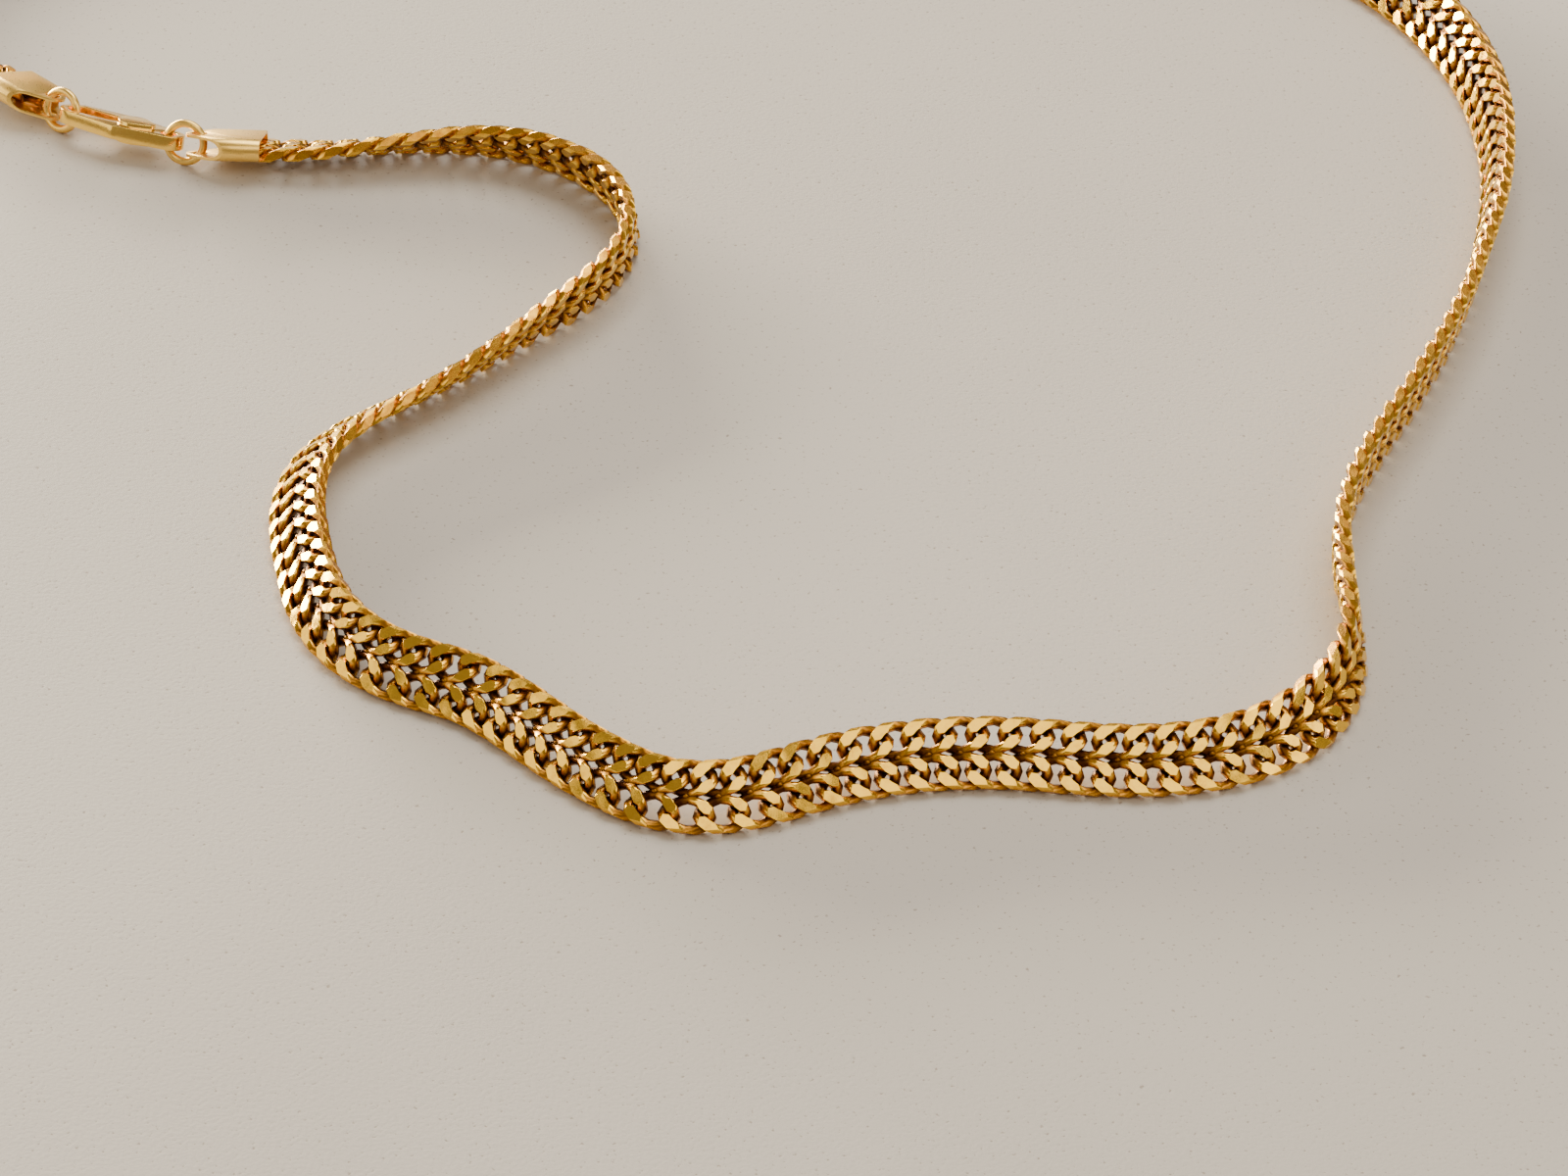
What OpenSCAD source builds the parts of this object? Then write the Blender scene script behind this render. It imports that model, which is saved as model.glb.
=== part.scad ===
/* [Chain] */
// Width across both rows of links
chain_w = 5.6; // [5:0.1:6]
// Thickness between its two ground faces
chain_t = 1.35; // [1.2:0.05:1.6]
// Bevel along its four edges
chain_bevel = 0.3; // [0.1:0.05:0.5]
// Gap between the last links and a cap's mouth
mouth_gap = 0.3; // [0.1:0.05:0.6]

/* [End caps] */
// Width of the flattened sleeve
cap_w = 6.2; // [5.6:0.1:7]
// Thickness of the flattened sleeve
cap_t = 2; // [1.8:0.05:2.2]
// Thickness of its sheet metal
cap_wall = 0.25; // [0.15:0.05:0.35]
// Length of the sleeve whose sides are closed
cap_len = 3.2; // [2.6:0.1:5]
// From the end of those sides to the middle of the hole in its tongues
taper_len = 2.4; // [2:0.1:3.5]
// Metal left between that hole and the tip
tip_rim = 0.5; // [0.4:0.05:0.7]
// Room between the sleeve and the chain's end in it
tang_gap = 0.1; // [0.05:0.01:0.15]
// How far the chain's end goes into the sleeve
tang_len = 2.8; // [1.5:0.1:3.5]

/* [Jump rings] */
// Thickness of the round wire
ring_wire = 0.7; // [0.5:0.05:0.8]
// Room round the wire in the holes that it goes through
ring_gap = 0.15; // [0.12:0.01:0.2]
// Room between the two tips that one ring holds
tip_gap = 0.3; // [0.2:0.05:0.5]

/* [Clasp] */
// Width of the claw at its widest
clasp_w = 4.8; // [4.4:0.1:5.6]
// Thickness of its eye and claw
clasp_t = 1.2; // [0.9:0.05:1.3]
// Thickness of its raised body
body_t = 1.9; // [1.4:0.1:2.4]
// Metal round its eye and at the tip of its claw
eye_rim = 0.7; // [0.5:0.05:0.8]
// Half the width of the opening at the claw's tip
claw_r = 1.1; // [0.9:0.05:1.3]

/* [Hidden] */
$fn = 48;

// The way the chain lies, from the right cap round to the left one: x, y and how far it is rolled
// from flat. A roll raises the chain's edge on the right hand of the way. The chain rounds these
// points off, and rests on the ground all along.
ROUTE = [
  [-60, 33, 159], [-64, 37, 153], [-68, 42.5, 141], [-70.5, 49, 133], [-70.5, 55.5, 131],
  [-68, 61.5, 135], [-62.5, 66, 143], [-55.5, 69, 155], [-46, 70, 170], [-36, 70, 180], [-16, 70, 180],
  [4, 70, 180], [24, 70, 180], [36, 69, 173], [47, 65.5, 160], [57, 59, 146], [64.5, 50, 133],
  [69.5, 39, 122], [71.5, 27.5, 114], [71, 15.5, 108], [68.5, 4, 104], [65, -7.5, 101], [60.5, -18, 99],
  [55.5, -28, 98], [53, -36.5, 92], [53, -44.5, 86], [53.5, -50.5, 79], [52.5, -56, 69], [50, -60.5, 58],
  [46, -64, 49], [40.5, -66, 42], [33.5, -66.5, 42], [26, -65, 42], [18.5, -65.5, 42], [12, -67.5, 42],
  [7.5, -70, 43], [3.5, -71, 44], [-0.5, -70.5, 44], [-4, -68, 44], [-7.5, -65, 44], [-11, -61, 44],
  [-15, -57, 44], [-19, -55.5, 44], [-23, -53, 45], [-26, -49.5, 46], [-28, -45, 45], [-29, -40, 46],
  [-30, -34.5, 42], [-30, -29, 38], [-28.5, -24, 37], [-25, -20, 37], [-20.5, -16.5, 43],
  [-15.5, -11.5, 52], [-11, -6, 63], [-8.5, -3.5, 70], [-5.5, 1, 78], [-4, 6, 88], [-4.5, 11, 98],
  [-6.5, 15.5, 109], [-10, 19, 118], [-14, 21.5, 125], [-18.5, 22.5, 131], [-22.5, 22.5, 138],
  [-27, 22, 146], [-32, 21.5, 154], [-36.2, 22, 159]
];
// The way each cap points, and the roll that both caps, the rings and the clasp share
right_heading = 315;
left_heading = 177;
close_roll = 159;

function dir(h) = [cos(h), sin(h)];
function unit(v) = v / norm(v);
function heading(v) = atan2(v[1], v[0]);
function flat(p) = [p[0], p[1]];

// A bevelled section, as points across and through the chain
function section(half_w, half_t, bevel_w, bevel_t) =
  let (flat_w = half_w - bevel_w, flat_t = half_t - bevel_t) [
    [half_w, flat_t], [flat_w, half_t], [-flat_w, half_t], [-half_w, flat_t],
    [-half_w, -flat_t], [-flat_w, -half_t], [flat_w, -half_t], [half_w, -flat_t]
  ];
chain_section = section(chain_w / 2, chain_t / 2, chain_bevel, chain_bevel);

// The narrowed end, which follows the round sides of the sleeve around it
tang_r = cap_t / 2 - cap_wall - tang_gap;
tang_flat = (cap_w - cap_t) / 2;
tang_section = section(tang_flat + tang_r * cos(30), tang_r, tang_r * cos(30), tang_r * sin(30));

// Height of a section's centre when its lowest corner is on the ground
function rest_height(sec, roll) = max([for (c = sec) c[0] * sin(roll) + c[1] * cos(roll)]);

// A ring of points round the route: its centre, the way it points, its roll and its section
function ring_points(centre, way, roll, sec) =
  let (
    right = [way[1], -way[0], 0],
    up = [0, 0, 1],
    across = right * cos(roll) + up * sin(roll),
    through = up * cos(roll) - right * sin(roll)
  )
  [for (c = sec) centre + c[0] * across + c[1] * through];

last = len(ROUTE) - 1;
function rounded(i) = i == 0 || i == last ? ROUTE[i] : (ROUTE[i - 1] + 4 * ROUTE[i] + ROUTE[i + 1]) / 6;
function way_at(i) =
  i == 0 ? -dir(right_heading)
  : i == last ? dir(left_heading)
  : unit(flat(ROUTE[i + 1] - ROUTE[i - 1]));
function chain_ring(i) =
  let (point = rounded(i), roll = point[2], height = rest_height(chain_section, roll))
  ring_points(concat(flat(point), height), way_at(i), roll, chain_section);
function tang_ring(i, depth) =
  let (centre = concat(flat(ROUTE[i]) + depth * way_at(i), close_height))
  ring_points(centre, way_at(i), close_roll, tang_section);

// A jump ring clears the outer corners of the tongues inside it
ring_in = norm([tip_gap / 2 + tip_rim, cap_t / 2]) + ring_gap;
ring_r = ring_in + ring_wire / 2;
ring_out = ring_in + ring_wire;

// A hole in a part of this half thickness, from the rim inside the ring to the room outside its wire
function hole_near(rim) = tip_gap / 2 + rim;
function hole_far(half_t) = sqrt(ring_out * ring_out - half_t * half_t) + ring_gap;
tongue_near = hole_near(tip_rim);
tongue_far = hole_far(cap_t / 2 - cap_wall);
tongue_hole_r = (tongue_far - tongue_near) / 2;
tongue_seat = (tongue_far + tongue_near) / 2;
tip_r = tongue_hole_r + tip_rim;
eye_near = hole_near(eye_rim);
eye_far = hole_far(0) + ring_gap;
eye_hole_r = (eye_far - eye_near) / 2;
eye_seat = (eye_far + eye_near) / 2;

// Each ring bends half of the way from its cap to the line between the holes of the two caps
cap_reach = mouth_gap + cap_len + taper_len;
left_pin = flat(ROUTE[last]) + cap_reach * dir(left_heading);
right_pin = flat(ROUTE[0]) + cap_reach * dir(right_heading);
pin_heading = heading(right_pin - left_pin);
left_ring_heading = (left_heading + pin_heading) / 2;
right_ring_heading = (right_heading + pin_heading + 180) / 2;
left_ring_at = left_pin + tongue_seat * dir(left_ring_heading);
right_ring_at = right_pin + tongue_seat * dir(right_ring_heading);
eye_at = left_ring_at + eye_seat * dir(left_ring_heading);
claw_tip = right_ring_at + eye_near * dir(right_ring_heading);
clasp_heading = heading(claw_tip - eye_at);
claw_end = norm(claw_tip - eye_at);
close_height = max(
  (cap_w - cap_t) / 2 * abs(sin(close_roll)) + cap_t / 2,
  ring_r * abs(cos(close_roll)) + ring_wire / 2);

module place(at, h, roll) {
  translate([at[0], at[1], close_height]) rotate([0, 0, h]) rotate([-roll, 0, 0]) children();
}

// The outline that a belt makes round two circles on the x axis
module belt(x1, r1, x2, r2) {
  hull() {
    translate([x1, 0]) circle(r1);
    translate([x2, 0]) circle(r2);
  }
}

// A slot-shaped bar along x
module flat_bar(width, thick, x1, x2) {
  half = (width - thick) / 2;
  translate([x1, 0, 0]) rotate([90, 0, 90]) linear_extrude(x2 - x1) {
    square([2 * half, thick], center = true);
    translate([half, 0]) circle(thick / 2);
    translate([-half, 0]) circle(thick / 2);
  }
}

// From above: the closed sleeve, then its sides drawn in to the round tip
module cap_outline() {
  corner = [-taper_len, cap_w / 2];
  a = heading(corner) - acos(tip_r / norm(corner));
  polygon([
    [-cap_len - taper_len, -cap_w], [-taper_len, -cap_w], [-taper_len, -cap_w / 2],
    [tip_r * cos(a), -tip_r * sin(a)], [tip_r * cos(a), tip_r * sin(a)],
    [-taper_len, cap_w / 2], [-taper_len, cap_w], [-cap_len - taper_len, cap_w]
  ]);
  circle(tip_r);
}

// The origin is the middle of the hole
module end_cap() {
  back = -cap_len - taper_len;
  color("goldenrod") difference() {
    intersection() {
      flat_bar(cap_w, cap_t, back, tip_r + 1);
      translate([0, 0, -cap_t]) linear_extrude(2 * cap_t) cap_outline();
    }
    flat_bar(cap_w - 2 * cap_wall, cap_t - 2 * cap_wall, back - 1, tip_r + 2);
    cylinder(r = tongue_hole_r, h = 2 * cap_t, center = true);
  }
}

module end_cap_left() {
  place(left_pin, left_heading, close_roll) end_cap();
}

module end_cap_right() {
  place(right_pin, right_heading, -close_roll) end_cap();
}

module jump_ring() {
  color("gold") rotate([90, 0, 0]) rotate_extrude() translate([ring_r, 0]) circle(ring_wire / 2);
}

module jump_ring_left() {
  place(left_ring_at, left_ring_heading, close_roll) jump_ring();
}

module jump_ring_right() {
  place(right_ring_at, right_ring_heading, -close_roll) jump_ring();
}

// The origin is the middle of the eye's hole
module clasp() {
  eye_r = eye_hole_r + eye_rim;
  middle = claw_end * 0.45;
  claw_x = claw_end - claw_r;
  body_r = eye_rim + eye_hole_r;
  color("goldenrod") place(eye_at, clasp_heading, close_roll) difference() {
    union() {
      linear_extrude(clasp_t, center = true) {
        belt(0, eye_r, middle, clasp_w / 2);
        belt(middle, clasp_w / 2, claw_x, claw_r + eye_rim);
      }
      linear_extrude(body_t, center = true) belt(eye_hole_r + body_r, body_r * 0.5, middle - 1, body_r);
    }
    cylinder(r = eye_hole_r, h = 2 * body_t, center = true);
    linear_extrude(2 * body_t, center = true) belt(middle + claw_r, claw_r * 0.8, claw_x, claw_r);
  }
}

// The two triangles between side j of ring i and the next ring
function wall_faces(i, j, sides) =
  let (near = i * sides, far = near + sides, next = (j + 1) % sides)
  [[near + j, far + j, far + next], [near + j, far + next, near + next]];

module wheat_chain() {
  rings = concat(
    [tang_ring(0, -tang_len - mouth_gap), tang_ring(0, 0)],
    [for (i = [0:last]) chain_ring(i)],
    [tang_ring(last, 0), tang_ring(last, tang_len + mouth_gap)]);
  sides = len(chain_section);
  first_face = [for (j = [0:sides - 1]) j];
  last_face = [for (j = [sides - 1:-1:0]) (len(rings) - 1) * sides + j];
  color("gold") polyhedron(
    points = [for (ring = rings, p = ring) p],
    faces = concat(
      [first_face, last_face],
      [for (i = [0:len(rings) - 2], j = [0:sides - 1], face = wall_faces(i, j, sides)) face]),
    convexity = 10);
}

wheat_chain();
end_cap_left();
end_cap_right();
jump_ring_left();
jump_ring_right();
clasp();
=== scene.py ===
"""A gold wheat chain with its end caps, jump rings and clasp, lying in loose curves on a pale floor."""

import math
import random

import bpy
from mathutils import Matrix, Vector


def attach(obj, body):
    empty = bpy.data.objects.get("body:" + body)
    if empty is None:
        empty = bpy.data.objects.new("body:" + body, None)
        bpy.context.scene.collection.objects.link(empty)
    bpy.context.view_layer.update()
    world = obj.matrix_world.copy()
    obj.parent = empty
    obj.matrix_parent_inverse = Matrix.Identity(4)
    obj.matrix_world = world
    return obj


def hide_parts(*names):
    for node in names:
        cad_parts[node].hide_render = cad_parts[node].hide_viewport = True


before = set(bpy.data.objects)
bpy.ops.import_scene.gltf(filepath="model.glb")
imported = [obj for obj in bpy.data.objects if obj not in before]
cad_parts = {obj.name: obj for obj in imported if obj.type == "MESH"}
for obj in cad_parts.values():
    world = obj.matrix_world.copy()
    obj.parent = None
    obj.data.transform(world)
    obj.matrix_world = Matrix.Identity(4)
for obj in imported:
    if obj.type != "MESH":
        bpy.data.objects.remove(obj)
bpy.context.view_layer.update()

# The chain, in millimetres
CHAIN_W = 5.6
CHAIN_T = 1.35
CHAIN_BEVEL = 0.3
PAIRS = 201

# One link: half the length and width of its wire's path, how far the wire rises above and below the middle,
# how straight it runs between its four turns, how far out it rises, how many rings its wire has, how far its
# middle lies from the chain's, its wire across and deep, and how much slimmer the wire is where it meets the
# other row and at the chain's side
LINK_LONG = 1.8
LINK_HALF = 1.17
LINK_RISE = 0.43
LINK_STRAIGHT = 1.2
RISE_OUT = 1.3
LINK_RINGS = 16
LINK_OUT = 1.4
WIRE = 1.0
WIRE_DEEP = 1.12
ROOT_SLIM = 0.25
SIDE_SLIM = 0.12
# The ground faces stand a little proud in the middle and fall away to the sides, and each pair leans its own way
PROUD = 0.02
CROWN = math.radians(1.5)
LEAN = 0.8
# How far the pairs inside the caps, and the last ones before them, are narrowed along, across and deep
INSIDE_CAP = (1, 0.9, 0.95, 1)
BEFORE_CAP = (1, 0.96, 1, 1)

# The way the chain lies: x, y and how far it is rolled, from the right cap round to the left one
ROUTE = [
    (-60, 33, 159), (-64, 37, 153), (-68, 42.5, 141), (-70.5, 49, 133), (-70.5, 55.5, 131), (-68, 61.5, 135),
    (-62.5, 66, 143), (-55.5, 69, 155), (-46, 70, 170), (-36, 70, 180), (-16, 70, 180), (4, 70, 180),
    (24, 70, 180), (36, 69, 173), (47, 65.5, 160), (57, 59, 146), (64.5, 50, 133), (69.5, 39, 122),
    (71.5, 27.5, 114), (71, 15.5, 108), (68.5, 4, 104), (65, -7.5, 101), (60.5, -18, 99), (55.5, -28, 98),
    (53, -36.5, 92), (53, -44.5, 86), (53.5, -50.5, 79), (52.5, -56, 69), (50, -60.5, 58), (46, -64, 49),
    (40.5, -66, 42), (33.5, -66.5, 42), (26, -65, 42), (18.5, -65.5, 42), (12, -67.5, 42), (7.5, -70, 43),
    (3.5, -71, 44), (-0.5, -70.5, 44), (-4, -68, 44), (-7.5, -65, 44), (-11, -61, 44), (-15, -57, 44),
    (-19, -55.5, 44), (-23, -53, 45), (-26, -49.5, 46), (-28, -45, 45), (-29, -40, 46), (-30, -34.5, 42),
    (-30, -29, 38), (-28.5, -24, 37), (-25, -20, 37), (-20.5, -16.5, 43), (-15.5, -11.5, 52), (-11, -6, 63),
    (-8.5, -3.5, 70), (-5.5, 1, 78), (-4, 6, 88), (-4.5, 11, 98), (-6.5, 15.5, 109), (-10, 19, 118),
    (-14, 21.5, 125), (-18.5, 22.5, 131), (-22.5, 22.5, 138), (-27, 22, 146), (-32, 21.5, 154), (-36.2, 22, 159),
]


def deselect():
    if bpy.context.mode != "OBJECT":
        bpy.ops.object.mode_set(mode="OBJECT")
    bpy.ops.object.select_all(action="DESELECT")


def only(piece):
    """Makes this piece the only one selected, and the active one."""
    deselect()
    piece.select_set(True)
    bpy.context.view_layer.objects.active = piece
    return piece


def edit(piece):
    only(piece)
    bpy.ops.object.mode_set(mode="EDIT")


def started(name):
    """Names the primitive that was just added."""
    piece = bpy.context.object
    piece.name = piece.data.name = name
    return piece


def pick(piece, wanted, kind="FACE"):
    """Selects in edit mode the faces, edges or points for which wanted is true."""
    edit(piece)
    bpy.ops.mesh.select_mode(type=kind)
    bpy.ops.mesh.select_all(action="DESELECT")
    bpy.ops.object.mode_set(mode="OBJECT")
    parts = {"FACE": piece.data.polygons, "VERT": piece.data.vertices, "EDGE": piece.data.edges}[kind]
    for part in parts:
        part.select = bool(wanted(part))
    bpy.ops.object.mode_set(mode="EDIT")


def finish_modifiers(piece):
    only(piece)
    for name in [m.name for m in piece.modifiers]:
        bpy.ops.object.modifier_apply(modifier=name)
    return piece


def joined(pieces, name):
    deselect()
    for piece in pieces:
        piece.select_set(True)
    bpy.context.view_layer.objects.active = pieces[0]
    bpy.ops.object.join()
    return started(name)


def copied(piece, name, matrix=None):
    copy = piece.copy()
    copy.data = piece.data.copy()
    copy.name = copy.data.name = name
    bpy.context.collection.objects.link(copy)
    if matrix is not None:
        copy.data.transform(matrix)
    return copy


def discard(piece):
    bpy.data.meshes.remove(piece.data)


def settle(piece):
    """Puts a piece's place into its mesh, and merges and faces it outwards."""
    only(piece)
    bpy.ops.object.transform_apply(location=True, rotation=True, scale=True)
    edit(piece)
    bpy.ops.mesh.select_all(action="SELECT")
    bpy.ops.mesh.remove_doubles(threshold=0.0005)
    bpy.ops.mesh.normals_make_consistent(inside=False)
    deselect()
    return piece


def finished(piece, material, *nodes, slot=None):
    """Brings a piece from millimetres to the frame's metres, gives it its material, hangs it under the root body and
    hides the source parts it stands in for.
    """
    piece.data.transform(Matrix.Scale(0.001, 4))
    piece.data.materials.clear()
    piece.data.materials.append(material)
    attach(piece, "root")
    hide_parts(*nodes)
    return piece


# ---------------------------------------------------------------- the route


def rest_height(roll):
    """How high the chain's middle is above the floor when it is rolled this far."""
    side, up = abs(math.sin(math.radians(roll))), abs(math.cos(math.radians(roll)))
    corners = [(CHAIN_W / 2, CHAIN_T / 2 - CHAIN_BEVEL), (CHAIN_W / 2 - CHAIN_BEVEL, CHAIN_T / 2)]
    return max(w * side + t * up for w, t in corners)


def smooth_route(steps=40):
    """Points and rolls close together along the smooth curve that ROUTE steers."""
    rows = [Vector(r) for r in ROUTE]
    rows = [2 * rows[0] - rows[1], *rows, 2 * rows[-1] - rows[-2]]
    found = []
    for i in range(1, len(rows) - 2):
        for s in range(steps):
            t = s / steps
            weights = ((1 - t) ** 3, 3 * t**3 - 6 * t**2 + 4, -3 * t**3 + 3 * t**2 + 3 * t + 1, t**3)
            x, y, roll = sum((rows[i - 1 + j] * (w / 6) for j, w in enumerate(weights)), Vector((0, 0, 0)))
            found.append((Vector((x, y, rest_height(roll))), roll))
    x, y, roll = rows[-2]
    found.append((Vector((x, y, rest_height(roll))), roll))
    return found


def chain_frames():
    """The place of each pair of links, as matrices whose X runs along the chain and Z leaves its face,
    with one more pair past each end, inside the caps."""
    points = smooth_route()
    along = [0.0]
    for a, b in zip(points, points[1:]):
        along.append(along[-1] + (b[0] - a[0]).length)
    pitch = along[-1] / PAIRS
    start, end = points[0], points[-1]
    frames, j = [], 0
    for k in range(-1, PAIRS + 1):
        s = (k + 0.5) * pitch
        while j < len(along) - 2 and along[j + 1] < s:
            j += 1
        t = (s - along[j]) / (along[j + 1] - along[j])
        middle = points[j][0].lerp(points[j + 1][0], t)
        roll = points[j][1] + (points[j + 1][1] - points[j][1]) * min(max(t, 0), 1)
        low, high = max(j - 8, 0), min(j + 9, len(points) - 1)
        if k < 1 or k > PAIRS - 2:
            low, high = (0, 12) if k < 1 else (len(points) - 13, len(points) - 1)
        way = (points[high][0] - points[low][0]).normalized()
        if k in (-1, PAIRS):
            way = Vector((way.x, way.y, 0)).normalized()
            middle = (start[0] - way * pitch / 2) if k < 0 else (end[0] + way * pitch / 2)
        flat = Vector((way.y, -way.x, 0)).normalized()
        rho = math.radians(roll)
        wide = flat * math.cos(rho) + Vector((0, 0, 1)) * math.sin(rho)
        wide = (wide - way * wide.dot(way)).normalized()
        face = wide.cross(way)
        frames.append(Matrix((way, face.cross(way), face)).transposed().to_4x4())
        frames[-1].translation = middle
    return frames


# ---------------------------------------------------------------- the links


def wire_path(ring):
    """Where the middle of the wire lies at one of its rings, counted round from the link's far end."""
    turn = math.tau * ring / LINK_RINGS
    along, across = (math.copysign(abs(v) ** LINK_STRAIGHT, v) for v in (math.cos(turn), math.sin(turn)))
    past_middle = abs(4 * ring / LINK_RINGS % 2 - 1)
    rise = math.copysign(LINK_RISE * math.sin(math.pi * past_middle**RISE_OUT), math.sin(2 * turn))
    return Vector((LINK_LONG * along, LINK_HALF * across, rise))


def bent_wire():
    """A closed link of wire, spun round, then pulled long and bent up and down in turn, at the far row's place."""
    deselect()
    bpy.ops.mesh.primitive_circle_add(vertices=6, radius=WIRE / 2, location=(2, 0, 0), rotation=(math.pi / 2, 0, 0))
    link = started("link")
    bpy.ops.object.transform_apply(location=True, rotation=True, scale=False)
    edit(link)
    bpy.ops.mesh.select_all(action="SELECT")
    bpy.ops.mesh.spin(steps=LINK_RINGS, angle=math.tau, center=(0, 0, 0), axis=(0, 0, 1))
    settle(link)
    rings = [round(math.atan2(v.co.y, v.co.x) / math.tau * LINK_RINGS) % LINK_RINGS for v in link.data.vertices]
    for ring in range(LINK_RINGS):
        turn = math.tau * ring / LINK_RINGS
        way = wire_path(ring + 1) - wire_path(ring - 1)
        pick(link, lambda v: rings[v.index] == ring, "VERT")
        centre = Vector((2 * math.cos(turn), 2 * math.sin(turn), 0))
        outer = max(0, math.sin(turn)) ** 4
        bpy.ops.transform.rotate(value=outer * math.pi / 6, orient_axis="X", center_override=centre)
        slim = 1 - ROOT_SLIM * max(0, -math.sin(turn)) ** 4 - SIDE_SLIM * outer
        bpy.ops.transform.resize(value=(slim, slim, slim * WIRE_DEEP / WIRE), center_override=centre)
        heading = turn + math.pi / 2 - math.atan2(way.y, way.x)
        bpy.ops.transform.rotate(value=heading, orient_axis="Z", center_override=centre)
        bpy.ops.transform.translate(value=wire_path(ring) - centre)
    link.location = (0, LINK_OUT, 0)
    return settle(link)


def grind(piece, place, way, fill=True):
    """Grinds a piece flat where it stands out past a plane."""
    edit(piece)
    bpy.ops.mesh.select_all(action="SELECT")
    bpy.ops.mesh.bisect(plane_co=place, plane_no=way, use_fill=fill, clear_outer=True, threshold=0.0001)
    bpy.ops.mesh.select_all(action="SELECT")
    bpy.ops.mesh.normals_make_consistent(inside=False)
    deselect()


def mark_ground(piece):
    """The round wire is shaded smooth and the ground faces stay flat, with sharp edges between them."""
    only(piece)
    bpy.ops.object.shade_smooth()
    face = CHAIN_T / 2 + PROUD
    bevel = CHAIN_W / 2 + CHAIN_T / 2 - CHAIN_BEVEL
    ground = {
        p.index
        for p in piece.data.polygons
        if abs(abs(p.center.z) + p.center.y * math.tan(CROWN) - face) < 0.002
        or abs(p.center.y - CHAIN_W / 2) < 0.001
        or abs(p.center.y + abs(p.center.z) - bevel) < 0.001
    }
    pick(piece, lambda p: p.index in ground)
    bpy.ops.mesh.faces_shade_flat()
    bpy.ops.mesh.region_to_loop()
    bpy.ops.mesh.mark_sharp()
    deselect()


def solder_bead():
    deselect()
    bpy.ops.mesh.primitive_uv_sphere_add(segments=6, ring_count=4, radius=0.5, location=(0.15, 0, 0))
    bead = started("bead")
    bead.scale = (0.85, 0.55, 0.95)
    settle(bead)
    only(bead)
    bpy.ops.object.shade_smooth()
    return bead


def paint_shade_and_polish(piece):
    """Paints a value on each point: full on the ground faces and the chain's side edges, falling away between the
    wires. In the colour it is painted shade where the metal lies deep, and in the roughness it is how well the
    polishing wheel reaches.
    """
    # The "polish" attribute carries painted shade for the colour, and the polish for the roughness.
    polish = piece.data.attributes.new("polish", "FLOAT", "POINT")
    for point, value in zip(piece.data.vertices, polish.data):
        near_face = (abs(point.co.z) + abs(point.co.y) * math.tan(CROWN)) / (CHAIN_T / 2)
        near_side = abs(point.co.y) / (CHAIN_W / 2)
        value.value = min(1.0, max(near_face - 0.5, 0.0) * 2.1) ** 1.6
        if near_side > 0.8:
            value.value = max(value.value, (near_side - 0.8) * 3)


def link_pair():
    far = bent_wire()
    for side in (1, -1):
        grind(far, (0, 0, side * (CHAIN_T / 2 + PROUD)), (0, math.sin(CROWN), side * math.cos(CROWN)))
        edge = (0, CHAIN_W / 2 - CHAIN_BEVEL / 2, side * (CHAIN_T / 2 - CHAIN_BEVEL / 2))
        grind(far, edge, (0, 1, side))
    grind(far, (0, CHAIN_W / 2, 0), (0, 1, 0))
    grind(far, (0, 0, 0), (0, -1, 0), fill=False)
    mark_ground(far)
    mirror = far.modifiers.new("near row", "MIRROR")
    mirror.use_axis = (False, True, False)
    mirror.merge_threshold = 0.0005
    finish_modifiers(far)
    pair = joined([far, solder_bead()], "link_pair")
    paint_shade_and_polish(pair)
    return pair


def wheat_chain(material):
    pair = link_pair()
    frames = chain_frames()
    links = []
    lean = random.Random(7)
    for k, place in enumerate(frames):
        for axis in "XY":
            place = place @ Matrix.Rotation(math.radians(lean.uniform(-LEAN, LEAN)), 4, axis)
        inside = k in (0, len(frames) - 1)
        last = k in (1, len(frames) - 2)
        narrow = Matrix.Diagonal(INSIDE_CAP if inside else BEFORE_CAP if last else (1, 1, 1, 1))
        links.append(copied(pair, f"link_pair_{k}", place @ narrow))
    discard(pair)
    chain = joined(links, "wheat_links")
    return finished(chain, material, "wheat_chain", slot="chain_gold")


# ---------------------------------------------------------------- caps, rings and clasp


def eased(node, width, segments=2):
    """A copy of a source piece in millimetres, merged, with its hard edges eased and shaded smooth."""
    piece = copied(node, node.name + "_eased", Matrix.Scale(1000, 4))
    edit(piece)
    bpy.ops.mesh.select_all(action="SELECT")
    bpy.ops.mesh.remove_doubles(threshold=0.0005)
    bpy.ops.mesh.dissolve_limited(angle_limit=math.radians(1))
    deselect()
    if width:
        bevel = piece.modifiers.new("eased edges", "BEVEL")
        bevel.width, bevel.segments, bevel.limit_method = width, segments, "ANGLE"
        bevel.angle_limit = math.radians(35)
        bevel.use_clamp_overlap = True
        finish_modifiers(piece)
    only(piece)
    bpy.ops.object.shade_smooth_by_angle(angle=math.radians(35))
    deselect()
    return piece


def closures(cap_material, clasp_material):
    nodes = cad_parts
    for side in ("left", "right"):
        finished(eased(nodes["end_cap_" + side], 0.05), cap_material, "end_cap_" + side, slot="cap_gold")
        finished(eased(nodes["jump_ring_" + side], 0), cap_material, "jump_ring_" + side, slot="cap_gold")
    finished(eased(nodes["clasp"], 0.12, 3), clasp_material, "clasp", slot="clasp_gold")


# ---------------------------------------------------------------- materials


def group(name, inputs, outputs):
    """An empty node group with number inputs, and outputs of the kinds given."""
    tree = bpy.data.node_groups.new(name, "ShaderNodeTree")
    for label, value in inputs.items():
        tree.interface.new_socket(label, in_out="INPUT", socket_type="NodeSocketFloat").default_value = value
    for label, kind in outputs.items():
        tree.interface.new_socket(label, in_out="OUTPUT", socket_type="NodeSocket" + kind)
    return tree


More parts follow.
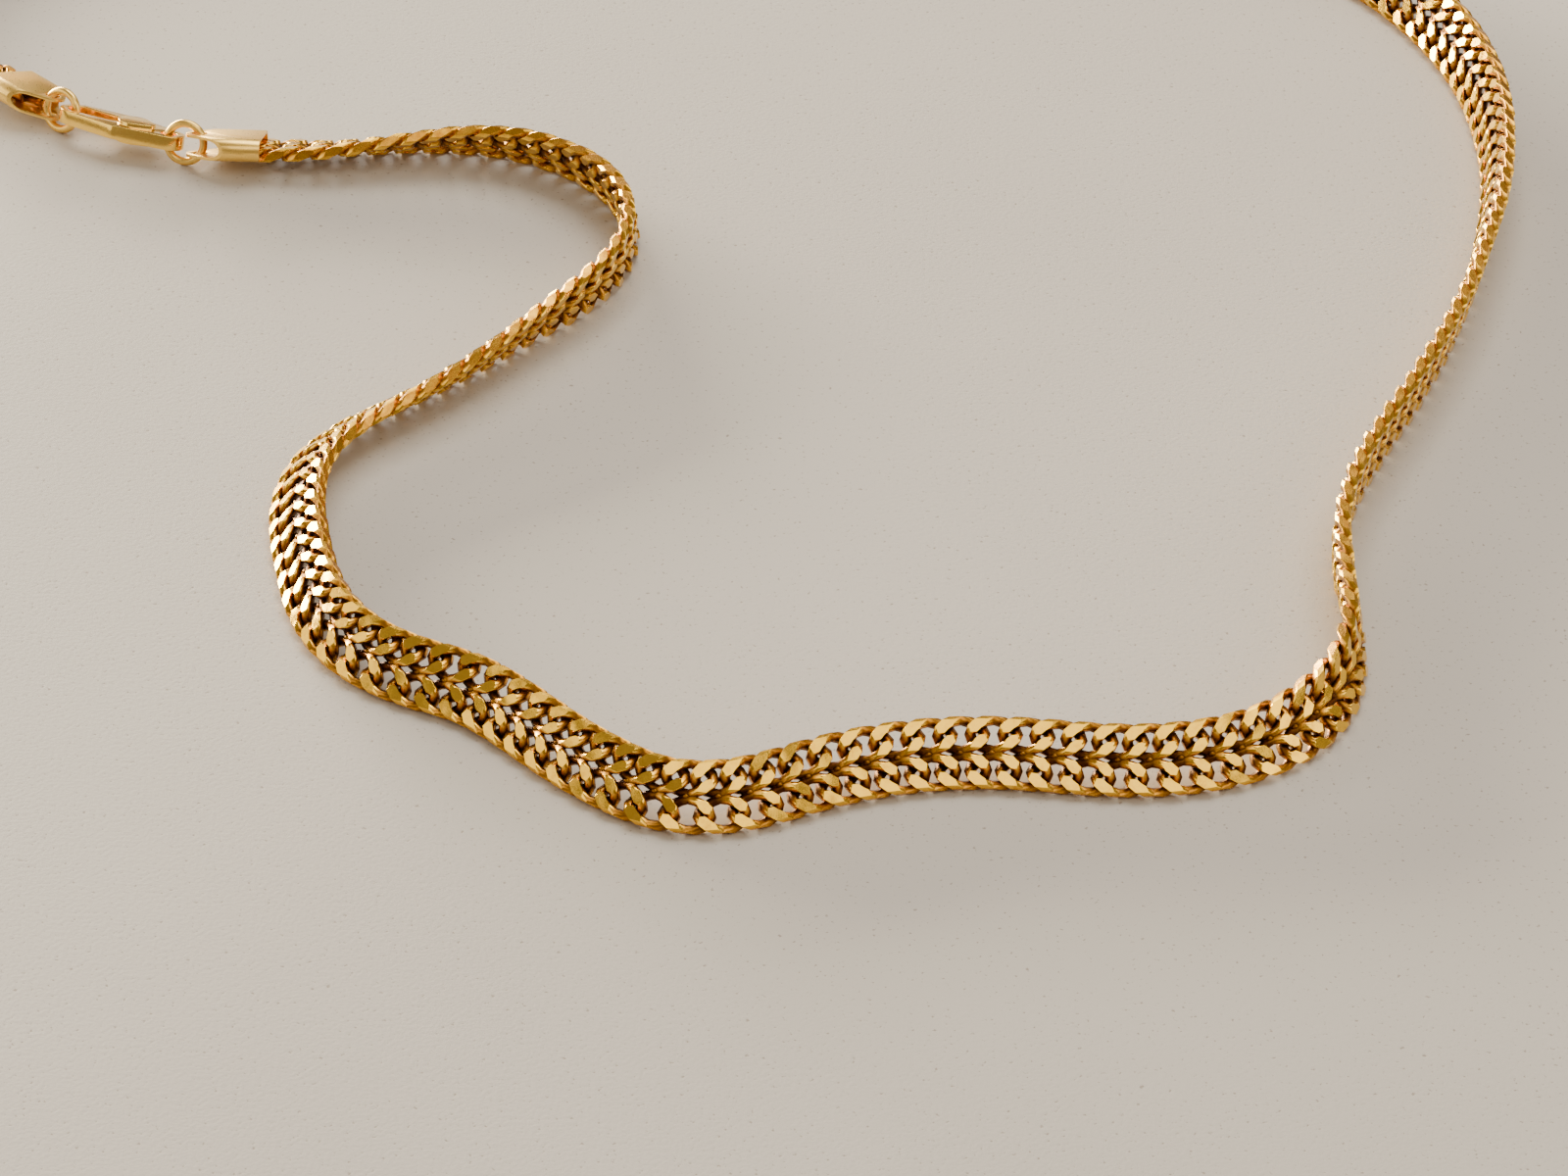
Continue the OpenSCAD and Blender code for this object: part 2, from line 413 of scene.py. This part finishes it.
def add(tree, kind, **settings):
    """A node of this kind. Its settings are attributes, inputs named with a leading i_, or links to other sockets."""
    node = tree.nodes.new("ShaderNode" + kind if not kind.startswith("NodeGroup") else kind)
    for key, value in settings.items():
        if not key.startswith("i_"):
            setattr(node, key, value)
            continue
        key = key[2:].replace("_", " ")
        socket = node.inputs[int(key)] if key.isdigit() else node.inputs[key]
        if isinstance(value, bpy.types.NodeSocket):
            tree.links.new(value, socket)
        else:
            socket.default_value = value
    return node


def ramp(tree, factor, stops):
    """A colour ramp through these places and colours, or greys."""
    node = add(tree, "ValToRGB", i_Fac=factor)
    elements = node.color_ramp.elements
    while len(elements) < len(stops):
        elements.new(0.5)
    for element, (place, colour) in zip(elements, stops):
        element.position = place
        element.color = (*colour, 1) if isinstance(colour, tuple) else (colour, colour, colour, 1)
    return node.outputs["Color"]


def polish_group():
    """Fine marks of the polishing wheel and a faint wave in the metal, as a mask and a normal."""
    tree = group(
        "polishing_marks",
        {"Mark Scale": 9000, "Wave Scale": 420, "Wave Height": 0.5, "Mark Height": 0.1},
        {"Marks": "Float", "Normal": "Vector"},
    )
    given, out = add(tree, "NodeGroupInput"), add(tree, "NodeGroupOutput")
    place = add(tree, "TexCoord").outputs["Object"]
    stretched = add(tree, "Mapping", i_Vector=place, i_Scale=(1, 0.25, 1)).outputs["Vector"]
    marks = add(tree, "TexNoise", i_Vector=stretched, i_Scale=given.outputs["Mark Scale"], i_Detail=3).outputs["Fac"]
    wave = add(tree, "TexNoise", i_Vector=place, i_Scale=given.outputs["Wave Scale"], i_Detail=1).outputs["Fac"]
    broad = add(
        tree, "Bump", i_Height=wave, i_Strength=given.outputs["Wave Height"], i_Distance=0.0002
    ).outputs["Normal"]
    fine = add(
        tree, "Bump", i_Height=marks, i_Strength=given.outputs["Mark Height"], i_Distance=0.00002, i_Normal=broad
    ).outputs["Normal"]
    tree.links.new(marks, out.inputs["Marks"])
    tree.links.new(fine, out.inputs["Normal"])
    return tree


def recess_shade_and_tone_group():
    """How bright the metal is painted: painted shade where it lies deep between its neighbours, from the value
    painted on its points, and a little random unevenness of tone.
    """
    tree = group("recess_shade_and_tone", {"Shade And Polish": 1.0, "Blotch Scale": 1500}, {"Bright": "Float"})
    given, out = add(tree, "NodeGroupInput"), add(tree, "NodeGroupOutput")
    place = add(tree, "TexCoord").outputs["Object"]
    blotch = add(tree, "TexNoise", i_Vector=place, i_Scale=given.outputs["Blotch Scale"], i_Detail=2).outputs["Fac"]
    spread = add(tree, "MapRange", i_0=blotch, i_1=0.3, i_2=0.7, i_3=-0.12, i_4=0.12).outputs["Result"]
    # Painted shade from the points' value, plus the random unevenness of tone.
    bright = add(tree, "Math", operation="ADD", use_clamp=True, i_0=given.outputs["Shade And Polish"], i_1=spread)
    tree.links.new(bright.outputs["Value"], out.inputs["Bright"])
    return tree


def gold(name, groups, deep, middle, bright, rough, wave, painted=True):
    """Gold with painted shade: its colour runs from a dark shade colour where the metal lies deep between the wires
    to bright on the exposed faces, and it is rougher where polishing doesn't reach. Without painted points only a
    little random unevenness of tone is left.
    """
    material = bpy.data.materials.new(name)
    material.use_nodes = True
    tree = material.node_tree
    shader = tree.nodes["Principled BSDF"]
    shader.inputs["Metallic"].default_value = 1
    polish, recess_shade_and_tone = groups
    marks = add(tree, "Group", node_tree=polish)
    marks.inputs["Wave Height"].default_value = wave
    place = add(tree, "Group", node_tree=recess_shade_and_tone)
    if painted:
        tree.links.new(add(tree, "Attribute", attribute_name="polish").outputs["Fac"], place.inputs["Shade And Polish"])
    # Painted shade: the colour ramp runs from the dark shade colour deep between the wires to the lit gold on the
    # exposed faces.
    colour = ramp(tree, place.outputs["Bright"], [(0.0, deep), (0.5, middle), (1.0, bright)])
    tree.links.new(colour, shader.inputs["Base Color"])
    wear = add(tree, "MapRange", i_0=place.outputs["Bright"], i_1=0.0, i_2=1.0, i_3=rough[0], i_4=rough[1])
    mark = add(tree, "MapRange", i_0=marks.outputs["Marks"], i_1=0.35, i_2=0.7, i_3=-0.03, i_4=0.05)
    total = add(tree, "Math", operation="ADD", i_0=wear.outputs["Result"], i_1=mark.outputs["Result"])
    tree.links.new(total.outputs["Value"], shader.inputs["Roughness"])
    tree.links.new(marks.outputs["Normal"], shader.inputs["Normal"])
    return material


def stone():
    """The pale floor: warm grey with fine darker specks."""
    material = bpy.data.materials.new("pale_floor")
    material.use_nodes = True
    tree = material.node_tree
    shader = tree.nodes["Principled BSDF"]
    shader.inputs["Roughness"].default_value = 0.6
    place = add(tree, "TexCoord").outputs["Object"]
    cloud = add(tree, "TexNoise", i_Vector=place, i_Scale=14, i_Detail=3).outputs["Fac"]
    ground = ramp(tree, cloud, [(0.3, (0.485, 0.44, 0.38)), (0.7, (0.53, 0.485, 0.42))])
    specks = add(tree, "TexNoise", i_Vector=place, i_Scale=2600, i_Detail=2).outputs["Fac"]
    dark = ramp(tree, specks, [(0.29, 1.0), (0.35, 0.0)])
    mixed = add(tree, "Mix", data_type="RGBA", i_0=dark)
    tree.links.new(ground, mixed.inputs[6])
    mixed.inputs[7].default_value = (0.3, 0.25, 0.2, 1)
    tree.links.new(mixed.outputs[2], shader.inputs["Base Color"])
    grit = add(tree, "Bump", i_Height=specks, i_Strength=0.12, i_Distance=0.0002)
    tree.links.new(grit.outputs["Normal"], shader.inputs["Normal"])
    return material


# ---------------------------------------------------------------- the scene


def floor():
    deselect()
    bpy.ops.mesh.primitive_plane_add(size=4, location=(0, 0, 0))
    plane = started("floor")
    plane.data.materials.append(stone())


def light(name, place, target, size, power, colour):
    data = bpy.data.lights.new(name, "AREA")
    data.shape, data.size, data.size_y = "RECTANGLE", *size
    data.energy, data.color = power, colour
    lamp = bpy.data.objects.new(name, data)
    bpy.context.collection.objects.link(lamp)
    lamp.location = place
    lamp.rotation_euler = (Vector(target) - Vector(place)).to_track_quat("-Z", "Y").to_euler()


def studio():
    floor()
    world = bpy.data.worlds.new("studio")
    bpy.context.scene.world = world
    world.use_nodes = True
    world.node_tree.nodes["Background"].inputs["Color"].default_value = (1, 0.83, 0.68, 1)
    world.node_tree.nodes["Background"].inputs["Strength"].default_value = 0.3
    light("low_light", (-0.64, 0.84, 0.15), (0, 0, 0), (0.95, 0.3), 60, (1, 0.9, 0.72))
    light("left_light", (-1.0, -0.2, 0.42), (0, 0, 0), (1.2, 0.5), 3.2, (1, 0.92, 0.76))
    light("front_light", (0.12, -0.55, 0.83), (0, -0.06, 0), (0.9, 0.46), 2.7, (1, 0.92, 0.76))
    light("right_light", (0.95, -0.4, 0.5), (0, 0, 0), (0.9, 0.5), 3.6, (1, 0.92, 0.76))
    light("top_light", (0.25, 0.5, 1.1), (0, 0, 0), (1.1, 0.8), 14, (1, 0.98, 0.95))


def camera():
    data = bpy.data.cameras.new("camera")
    data.lens, data.sensor_width = 138.3, 36
    data.clip_start, data.clip_end = 0.01, 10
    view = bpy.data.objects.new("camera", data)
    bpy.context.collection.objects.link(view)
    view.location = (0.009, -0.4267, 0.2802)
    view.rotation_euler = (math.radians(54), 0, 0)
    bpy.context.scene.camera = view


camera()
studio()
marks_and_shade_groups = (polish_group(), recess_shade_and_tone_group())
# The chain's darkest colour is painted shade for the hollows between its wires.
chain_gold = gold(
    "chain_gold", marks_and_shade_groups, (0.08, 0.025, 0.006), (0.57, 0.25, 0.022), (0.98, 0.585, 0.05), (0.42, 0.16), 0.45
)
cap_gold = gold(
    "cap_gold", marks_and_shade_groups, (0.6, 0.32, 0.07), (0.92, 0.55, 0.12), (0.98, 0.64, 0.15), (0.36, 0.3), 0.05,
    painted=False,
)
clasp_gold = gold(
    "clasp_gold", marks_and_shade_groups, (0.45, 0.22, 0.05), (0.9, 0.53, 0.11), (0.98, 0.64, 0.13), (0.28, 0.16), 0.12,
    painted=False,
)
wheat_chain(chain_gold)
closures(cap_gold, clasp_gold)
